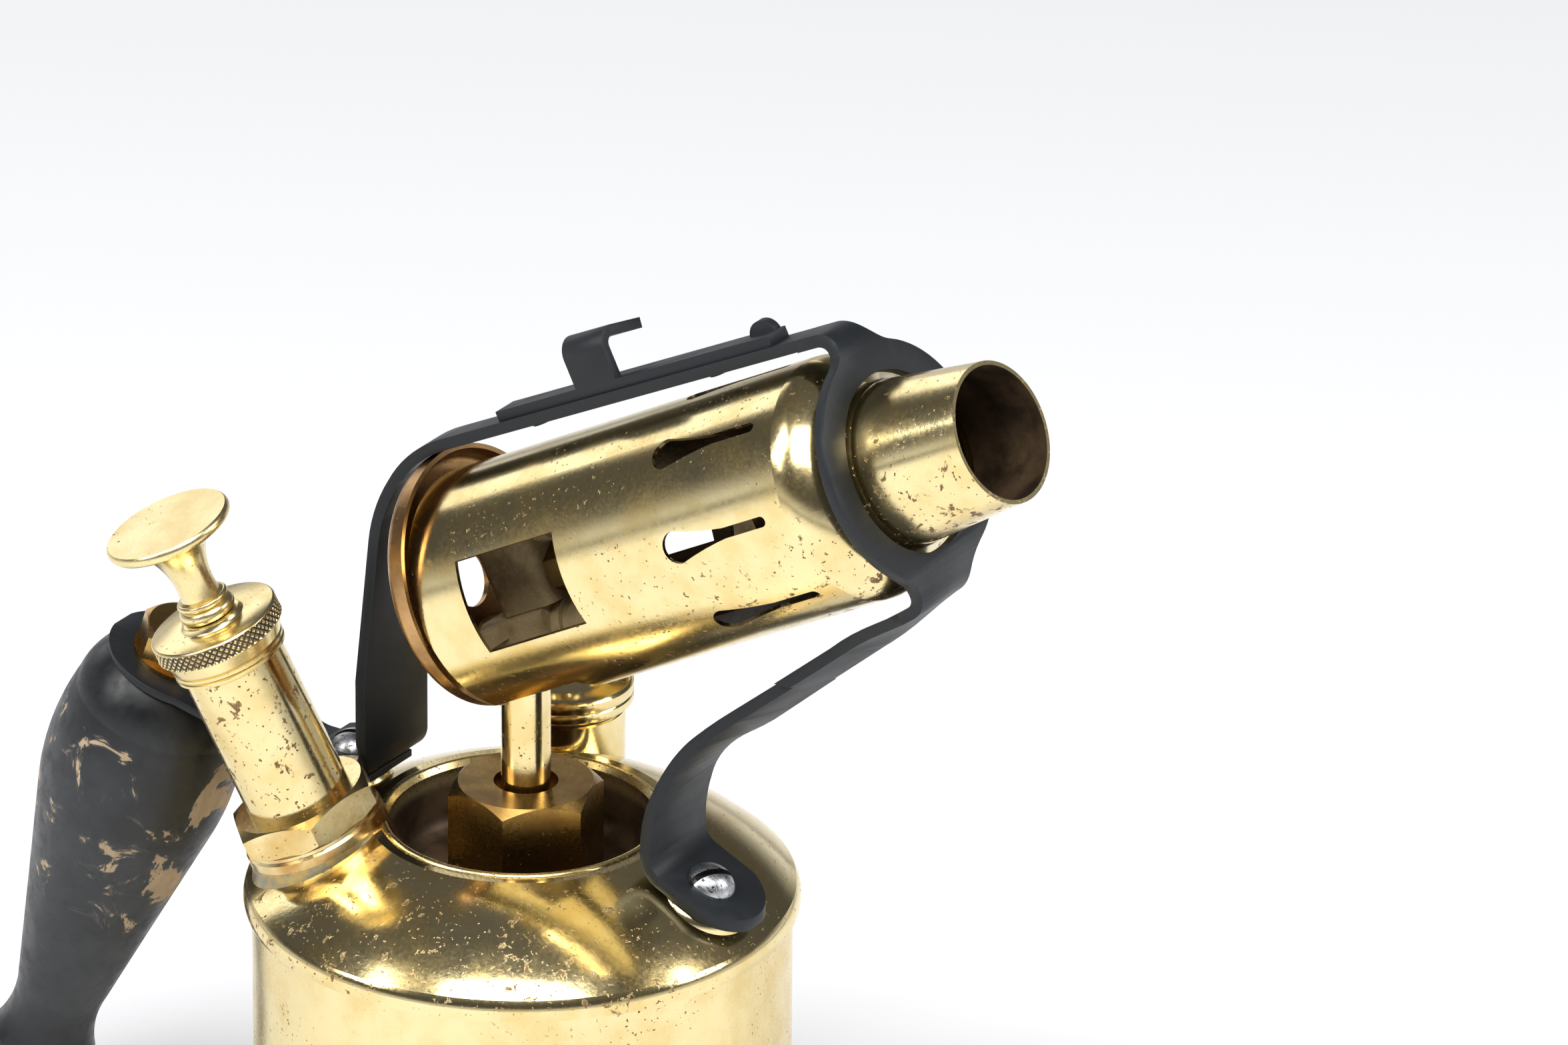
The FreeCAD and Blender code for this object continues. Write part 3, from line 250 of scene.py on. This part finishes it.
def steel(name, shift=0.0, painted_shade=None):
    """Bright steel with scuffs, dark pits and a dull skin; the function given last marks a place where shade
    is painted near-black.
    """
    n = Nodes(name)
    skin = n.noise(0.5, 5, 0.65, shift=shift)
    scratch = n.noise(0.7, 3, 0.7, stretch=(1, 7, 1), shift=shift)
    pits = n.step(n.noise(1.3, 2, 0.5, shift=shift + 2), 0.62, 0.7)
    base = n.mix(n.step(skin, 0.35, 0.7), colour("C6C8CA"), colour("8E9092"))
    skin_colour = n.mix(pits, base, colour("3C3A38"))
    metallic = 0.95
    if painted_shade:
        shaded = painted_shade(n)
        # Painted shade: near-black, dull steel in the marked place.
        skin_colour = n.mix(shaded, skin_colour, colour("1C1A18"))
        metallic = n.step(shaded, 0, 1, 0.95, 0.1)
    n.feed(n.shader.inputs["Base Color"], skin_colour)
    n.feed(n.shader.inputs["Metallic"], metallic)
    n.feed(n.shader.inputs["Roughness"], n.step(scratch, 0.3, 0.7, 0.22, 0.42))
    n.feed(n.shader.inputs["Normal"], n.bump(n.math("SUBTRACT", scratch, pits), 0.06, 0.5))
    return n.material


def casting(name):
    """Heat-scaled casting, sandy and rough with metal showing on the high spots."""
    n = Nodes(name)
    grains = n.noise(1.6, 5, 0.7)
    wide = n.noise(0.12, 4, 0.6)
    scale = n.mix(n.step(wide, 0.35, 0.65), colour("A08A64"), colour("CDB687"))
    glint = n.step(grains, 0.62, 0.68)
    n.feed(n.shader.inputs["Base Color"], n.mix(glint, scale, colour("E6D3A0")))
    n.feed(n.shader.inputs["Metallic"], n.step(glint, 0, 1, 0.25, 0.8))
    n.feed(n.shader.inputs["Roughness"], n.step(grains, 0.3, 0.7, 0.75, 0.45))
    n.feed(n.shader.inputs["Normal"], n.bump(grains, 0.35, 0.8))
    return n.material


def solder(name):
    """Soft solder, dull grey over the brass, smoother where it has flowed."""
    n = Nodes(name)
    flow = n.noise(0.35, 5, 0.6)
    n.feed(n.shader.inputs["Base Color"], n.mix(n.step(flow, 0.35, 0.6), colour("8D8873"), colour("B79E62")))
    n.feed(n.shader.inputs["Metallic"], 0.9)
    n.feed(n.shader.inputs["Roughness"], n.step(flow, 0.3, 0.7, 0.3, 0.42))
    n.feed(n.shader.inputs["Normal"], n.bump(flow, 0.25, 0.6))
    return n.material


def leather(name):
    """Oiled brown leather with a fine grain."""
    n = Nodes(name)
    grain = n.noise(1.5, 4, 0.6)
    n.feed(n.shader.inputs["Base Color"], n.mix(grain, colour("4A2F1C"), colour("76502F")))
    n.feed(n.shader.inputs["Roughness"], n.step(grain, 0.3, 0.7, 0.5, 0.8))
    n.feed(n.shader.inputs["Normal"], n.bump(grain, 0.12, 0.6))
    return n.material


def painted_wood(name):
    """Worn black paint over turned wood, chipped to tan on the side of its shoulder."""
    n = Nodes(name)
    x, y, z = n.along(HANDLE)
    down = n.math("MULTIPLY", z, -1.0)
    height = n.math("MULTIPLY", n.step(down, 4, 16), n.step(down, 40, 66, 1, 0))
    chips = n.noise(0.085, 8, 0.64, distortion=0.8, shift=3)
    rubs = n.noise(0.035, 4, 0.6, shift=8)
    wear = n.math("ADD", chips, n.math("MULTIPLY", height, 0.10))
    wear = n.math("ADD", wear, n.math("MULTIPLY", n.step(rubs, 0.4, 0.65), 0.06))
    bare = n.step(wear, 0.70, 0.715)
    halo = n.step(wear, 0.665, 0.70)
    grain = n.noise(0.5, 6, 0.65, stretch=(1, 1, 0.12), shift=5)
    wood = n.mix(grain, colour("C2AE92"), colour("957B5B"))
    paint = n.mix(n.step(n.noise(0.05, 5, 0.6, shift=2), 0.35, 0.7), colour("101214"), colour("26292C"))
    scuffed = n.mix(n.math("MULTIPLY", halo, 0.6), paint, colour("4C4A46"))
    n.feed(n.shader.inputs["Base Color"], n.mix(bare, scuffed, wood))
    gloss = n.step(n.noise(0.3, 5, 0.65, shift=9), 0.35, 0.7, 0.34, 0.52)
    n.feed(n.shader.inputs["Roughness"], n.math("MAXIMUM", gloss, n.math("MULTIPLY", bare, 0.75)))
    dents = n.math("SUBTRACT", n.math("MULTIPLY", n.noise(0.25, 5, 0.6, shift=7), 0.35), bare)
    n.feed(n.shader.inputs["Normal"], n.bump(dents, 0.18, 0.7))
    return n.material


def burner_wear(n):
    """Wear of the jacket: heavy on the nozzle, and along the lower front of the body."""
    x, y, z = n.along(BURNER)
    nozzle = n.math("MULTIPLY", n.step(z, 88, 98), n.step(x, 9, -9, 0.35, 1.0))
    low_front = n.math("MULTIPLY", n.step(x, 2, -16), n.step(z, 40, 80))
    return n.math("MAXIMUM", nozzle, low_front)


def inside_burner(n):
    """1 on the faces of the burner that look inwards at its axis, 0 on those that look out."""
    x, y, z = n.along(BURNER)
    facing = []
    normal = n.new("ShaderNodeNewGeometry").outputs["True Normal"]
    for column in (0, 1):
        dot = n.new("ShaderNodeVectorMath")
        dot.operation = "DOT_PRODUCT"
        n.feed(dot.inputs[0], normal)
        dot.inputs[1].default_value = BURNER.col[column][:3]
        facing.append(dot.outputs["Value"])
    outward = n.math("ADD", n.math("MULTIPLY", facing[0], x), n.math("MULTIPLY", facing[1], y))
    return n.step(outward, -1.0, -4.0)


def cup_soot(n):
    """Burnt spirit's brown skin inside the cup, below its rim."""
    z = n.along(TANK)[2]
    return n.step(z, 96.6, 92.0)


def slot_painted_shade(n):
    """Painted shade in the slots of the strap's screws."""
    shares = []
    for screw in (FRONT_SCREW, REAR_SCREW):
        x, y, z = n.along(screw)
        near = n.math("MULTIPLY", n.step(n.math("ABSOLUTE", x), 6.5, 6.0),
                      n.step(n.math("ABSOLUTE", z), 9.0, 8.0))
        shares.append(n.math("MULTIPLY", near, n.step(n.math("ABSOLUTE", y), 0.74, 0.67)))
    return n.math("MAXIMUM", shares[0], shares[1])


def knurl_painted_shade(n):
    """Painted shade in the grooves of the cap's knurl."""
    x, y, z = n.along(PUMP)
    radius = n.math("SQRT", n.math("ADD", n.math("MULTIPLY", x, x), n.math("MULTIPLY", y, y)))
    band = n.math("MULTIPLY", n.step(z, 44.95, 45.15), n.step(z, 48.0, 47.8))
    return n.math("MULTIPLY", band, n.step(radius, 12.3, 12.12))


def shoulder_wear(n):
    """Brown runs on the shoulder's front and by the pump."""
    x, y, z = n.along(TANK)
    front = n.math("MULTIPLY", n.step(y, 4, -22), n.step(z, 99, 90, 0.6, 1.0))
    return n.math("MULTIPLY", front, 0.5)


def barrel_wear(n):
    """Pits in a band along the pump's barrel."""
    x, y, z = n.along(PUMP)
    return n.math("MULTIPLY", n.step(x, -3, 6), 0.7)


# ---------------------------------------------------------------- meshes

WELD = 0.000001                         # points nearer than this are one, in metres


def lathe(name, profile, matrix, steps, ripple):
    """Closed solid of revolution in matrix's frame from a closed outline of (radius, z) in mm.

    ripple(angle, radius, z) gives a change of radius in mm.
    """
    mesh = bmesh.new()
    rings = []
    for k in range(steps):
        a = 2 * math.pi * k / steps
        ring = []
        for r, z in profile:
            grown = r + ripple(a, r, z)
            ring.append(mesh.verts.new(matrix @ point(grown * math.cos(a), grown * math.sin(a), z)))
        rings.append(ring)
    count = len(profile)
    for k in range(steps):
        here = rings[k]
        there = rings[(k + 1) % steps]
        for j in range(count):
            i = (j + 1) % count
            mesh.faces.new((here[j], there[j], there[i], here[i]))
    bmesh.ops.recalc_face_normals(mesh, faces=mesh.faces)
    data = bpy.data.meshes.new(name)
    mesh.to_mesh(data)
    mesh.free()
    data.set_sharp_from_angle(angle=math.radians(38))
    piece = bpy.data.objects.new(name, data)
    bpy.context.collection.objects.link(piece)
    for face in data.polygons:
        face.use_smooth = True
    return piece


def soften(piece, width_mm):
    """Rounds a piece's edges for the light to catch, with modifiers only."""
    for face in piece.data.polygons:
        face.use_smooth = True
    weld = piece.modifiers.new("weld", "WELD")
    weld.merge_threshold = WELD
    bevel = piece.modifiers.new("round", "BEVEL")
    bevel.width = width_mm * MM
    bevel.segments = 2
    bevel.limit_method = "ANGLE"
    bevel.angle_limit = math.radians(32)
    bevel.harden_normals = True
    bevel.use_clamp_overlap = True


KNURLS = 54
KNURL_LOW = 45.1
KNURL_HIGH = 47.9
KNURL_DEPTH = 0.34
KNURL_CLIMB = 1.4                       # height of one turn of its pattern, mm


def knurl(angle, radius, z):
    """Diamond knurl cut into the cap's grip band."""
    if radius < 12.3 or not KNURL_LOW < z < KNURL_HIGH:
        return 0.0
    turns = KNURLS * angle / (2 * math.pi)
    climb = (z - KNURL_LOW) / KNURL_CLIMB
    depths = [1 - 2 * abs(t - round(t)) for t in (turns + climb, turns - climb)]
    return -KNURL_DEPTH * max(depths)


ARM_LOW = Vector((32.6, 0, 115.2))      # ends of the strap's slanting front arm, mm
ARM_HIGH = Vector((90.7, 0, 165.1))
ARM_TWIST = math.radians(15)
ARM_CUTS = 24                           # cross cuts that let the arm twist
ARM_REACH = 12                          # no point of the arm is further than this from its line, mm


def smooth(low, high, value):
    """Smooth step of value between low and high."""
    t = min(max((value - low) / (high - low), 0), 1)
    return t * t * (3 - 2 * t)


def twisted_strap():
    """The strap with its front arm twisted a little about its own line, near edge up."""
    run = ARM_HIGH - ARM_LOW
    along = run.normalized()
    out = Vector((along.z, 0, -along.x))
    mesh = bmesh.new()
    mesh.from_mesh(nodes["support_strap"].data)
    bmesh.ops.remove_doubles(mesh, verts=mesh.verts, dist=WELD)
    for k in range(ARM_CUTS):
        at = (ARM_LOW + run * (k + 0.5) / ARM_CUTS) * MM
        bmesh.ops.bisect_plane(mesh, geom=mesh.verts[:] + mesh.edges[:] + mesh.faces[:], dist=WELD / 10,
                               plane_co=at, plane_no=along)
    for vert in mesh.verts:
        from_low = vert.co / MM - ARM_LOW
        share = from_low.dot(along) / run.length
        if abs(from_low.dot(out)) < ARM_REACH:
            turn = ARM_TWIST * smooth(-0.02, 0.3, share) * smooth(0.98, 0.72, share)
            vert.co += out * (vert.co.y * math.sin(turn))
    data = bpy.data.meshes.new("strap")
    mesh.to_mesh(data)
    mesh.free()
    piece = bpy.data.objects.new("strap", data)
    bpy.context.collection.objects.link(piece)
    return piece


def knurled_cap():
    """The pump's cap with its grooves and its knurled grip band, each vertex row a ring."""
    band = [(12.4, KNURL_LOW + 0.02 + 0.145 * k) for k in range(20)]
    lower = [(3.0, 44.0), (9.8, 44.0), (9.8, 39.8), (10.5, 39.8), (10.9, 40.1), (10.9, 40.6),
             (10.5, 40.9), (10.9, 41.2), (10.9, 41.7), (10.5, 42.0), (11.0, 42.3), (11.8, 44.7),
             (12.25, 44.85), (12.4, 45.0)]
    upper = [(12.4, 48.0), (12.25, 48.3), (11.9, 48.5), (6.2, 48.5), (5.9, 48.8), (5.7, 49.4), (5.3, 49.6),
             (3.0, 49.6)]
    return lathe("knurled_cap", lower + band + upper, PUMP, KNURLS * 12, knurl)


# ---------------------------------------------------------------- pieces

cap = knurled_cap()
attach(cap, "lamp")
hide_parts("pump_cap")

strap = twisted_strap()
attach(strap, "lamp")
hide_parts("support_strap")

looks = {
    "tank_base": brass("brass_base", rough=0.22, haze=0.12, pits=0.6, shift=1),
    "tank_shell": brass("brass_shell", rough=0.22, haze=0.1, pits=0.7, shift=2, brushed=(1, 1, 9)),
    "tank_shoulder": brass("brass_shoulder", rough=0.1, haze=0.12, pits=0.5, stain=0.3, shift=3,
                           zone=shoulder_wear),
    "spirit_cup": brass("brass_cup", rough=0.2, haze=0.15, pits=1.0, stain=0.6, shift=4, soot_and_shade=cup_soot),
    "burner_jacket": brass("brass_jacket", rough=0.13, haze=0.12, pits=0.6, shift=5, zone=burner_wear,
                           soot_and_shade=inside_burner),
    "flame_tube": brass("brass_flame_tube", metal=BROWN, warm=DARK_BROWN, rough=0.5, pits=1.0, shift=6),
    "riser_nut": brass("brass_riser_nut", metal=colour("B79452"), warm=colour("8E6D3C"), rough=0.24,
                       pits=0.1, shift=7),
    "riser_bush": brass("brass_bush", metal=colour("9A7440"), warm=colour("5E4527"), rough=0.35, shift=8),
    "rear_cap": brass("brass_rear_cap", metal=colour("C29A68"), warm=colour("97734A"), rough=0.24, stain=0.5,
                      shift=9),
    "pump_barrel": brass("brass_barrel", rough=0.12, haze=0.1, pits=0.8, shift=10, zone=barrel_wear),
    "pump_nut": brass("brass_pump_nut", warm=colour("CFAE6C"), rough=0.14, pits=0.4, shift=11),
    "pump_collar": brass("brass_collar", warm=colour("B98A4A"), rough=0.18, stain=0.4, shift=12),
    "pump_washer": brass("brass_washer", warm=colour("B07A45"), rough=0.2, stain=0.5, shift=13),
    "front_post": brass("brass_posts", rough=0.14, stain=0.5, shift=14),
}
looks["rear_post"] = looks["front_post"]
plain_brass = brass("brass_clean", rough=0.13, haze=0.1, pits=0.4, shift=15)
satin_brass = brass("brass_satin", rough=0.24, haze=0.1, pits=0.5, shift=16)
inner_brass = brass("brass_inner", metal=colour("A98A52"), warm=colour("7C6038"), rough=0.35, pits=1.0,
                    shift=17)
cast = casting("scaled_casting")
black = black_steel("black_steel")
bright = steel("bright_steel")
hide = leather("leather")
for name in ("pump_rod", "filler_neck", "filler_cap", "riser_tube"):
    looks[name] = plain_brass
looks["handle_nut"] = brass("brass_handle_nut", metal=colour("C9A664"), warm=colour("A47C42"), rough=0.2,
                            shift=18)
looks["pump_knob"] = satin_brass
for name in ("jet_nipple", "dip_tube", "valve_body", "valve_pip", "valve_plug"):
    looks[name] = inner_brass
for name in ("vaporiser_loop", "burner_block", "jet_body"):
    looks[name] = cast
for name in ("support_strap", "iron_rest", "rest_rivets", "handle_bracket"):
    looks[name] = black
for name in ("cap_screw", "leather_washers", "rod_nut", "valve_spring", "handle_ferrule", "handle_bolt"):
    looks[name] = bright
for name in ("pump_leather", "filler_washer"):
    looks[name] = hide
# The screws' slots get painted shade.
looks["strap_screws"] = steel("screw_steel", shift=4, painted_shade=slot_painted_shade)
looks["pump_fillet"] = solder("solder")
looks["handle_grip"] = painted_wood("worn_black_paint")

# The knurl's grooves get painted shade in dark brown.
cap.data.materials.append(brass("brass_cap", rough=0.2, haze=0.1, pits=0.5, shift=19, soot_and_shade=knurl_painted_shade))
for name, piece in nodes.items():
    if name in looks:
        piece.data.materials.clear()
        piece.data.materials.append(looks[name])
strap.data.materials.clear()
strap.data.materials.append(black)

soften(strap, 0.35)
for name, width in (("iron_rest", 0.4), ("handle_bracket", 0.35), ("filler_cap", 0.3)):
    soften(nodes[name], width)


# ---------------------------------------------------------------- floor, light and camera

AZIMUTH = math.radians(32.76)
ELEVATION = math.radians(24.78)
ROLL = math.radians(0.39)
DISTANCE = 2.77174
AIM_RIGHT = 0.04835
AIM_UP = 0.069
AIM_HEIGHT = 0.08

forward = Vector((-math.sin(AZIMUTH) * math.cos(ELEVATION), math.cos(AZIMUTH) * math.cos(ELEVATION),
                  -math.sin(ELEVATION)))
level = Vector((math.cos(AZIMUTH), math.sin(AZIMUTH), 0))
right = level * math.cos(ROLL) + level.cross(forward) * math.sin(ROLL)
up = right.cross(forward)
camera = bpy.data.objects.new("camera", bpy.data.cameras.new("camera"))
bpy.context.collection.objects.link(camera)
camera.data.lens = 344.2
camera.data.sensor_width = 36
camera.data.clip_start = 0.1
camera.data.clip_end = 100
turn = Matrix((right, up, -forward)).transposed()
place = Vector((0, 0, AIM_HEIGHT)) + right * AIM_RIGHT + up * AIM_UP - forward * DISTANCE
camera.matrix_world = Matrix.Translation(place) @ turn.to_4x4()
bpy.context.scene.camera = camera


LIGHT_AIM = Vector((0, 0, 0.12))        # where the lights look, in metres


def softbox(name, azimuth, elevation, distance, width, height, power):
    """Rectangular light that looks at the lamp from that azimuth (0 is from -Y, 90 from +X)."""
    a = math.radians(azimuth)
    e = math.radians(elevation)
    way = Vector((math.sin(a) * math.cos(e), -math.cos(a) * math.cos(e), math.sin(e)))
    light = bpy.data.lights.new(name, "AREA")
    light.shape = "RECTANGLE"
    light.size = width
    light.size_y = height
    light.energy = power
    lamp = bpy.data.objects.new(name, light)
    bpy.context.collection.objects.link(lamp)
    lamp.matrix_world = (Matrix.Translation(LIGHT_AIM + way * distance)
                         @ way.to_track_quat("Z", "Y").to_matrix().to_4x4())


softbox("key_box", 28, 60, 1.9, 1.4, 0.9, 38)
softbox("left_box", -38, 40, 1.8, 0.6, 1.0, 15)
softbox("right_box", 112, 34, 1.9, 0.7, 1.2, 17)
softbox("back_box", 238, 21, 2.2, 1.7, 0.75, 6)

FLOOR_HALF = 6.0
corners = [(x * FLOOR_HALF, y * FLOOR_HALF, 0) for x, y in ((-1, -1), (1, -1), (1, 1), (-1, 1))]
floor_mesh = bpy.data.meshes.new("floor")
floor_mesh.from_pydata(corners, [], [(0, 1, 2, 3)])
floor = bpy.data.objects.new("floor", floor_mesh)
bpy.context.collection.objects.link(floor)
paper = Nodes("pale_paper")
paper.feed(paper.shader.inputs["Base Color"], (0.86, 0.865, 0.88, 1))
paper.feed(paper.shader.inputs["Roughness"], 0.9)
floor_mesh.materials.append(paper.material)

world = bpy.data.worlds.new("studio")
bpy.context.scene.world = world
world.use_nodes = True
sky = world.node_tree
way = sky.nodes.new("ShaderNodeTexCoord")
split = sky.nodes.new("ShaderNodeSeparateXYZ")
ramp = sky.nodes.new("ShaderNodeValToRGB")
sky.links.new(way.outputs["Generated"], split.inputs[0])
sky.links.new(split.outputs["Z"], ramp.inputs["Fac"])
stops = ramp.color_ramp.elements
stops[0].position = 0.02
stops[0].color = (0.93, 0.95, 1.0, 1)
stops[1].position = 1.0
stops[1].color = (0.13, 0.13, 0.14, 1)
for height, shade in ((0.12, 0.42), (0.22, 0.08)):
    stops.new(height).color = (shade, shade, shade * 1.04, 1)
sky.links.new(ramp.outputs["Color"], sky.nodes["Background"].inputs["Color"])
sky.nodes["Background"].inputs["Strength"].default_value = 0.9

bpy.context.scene.view_settings.view_transform = "Standard"
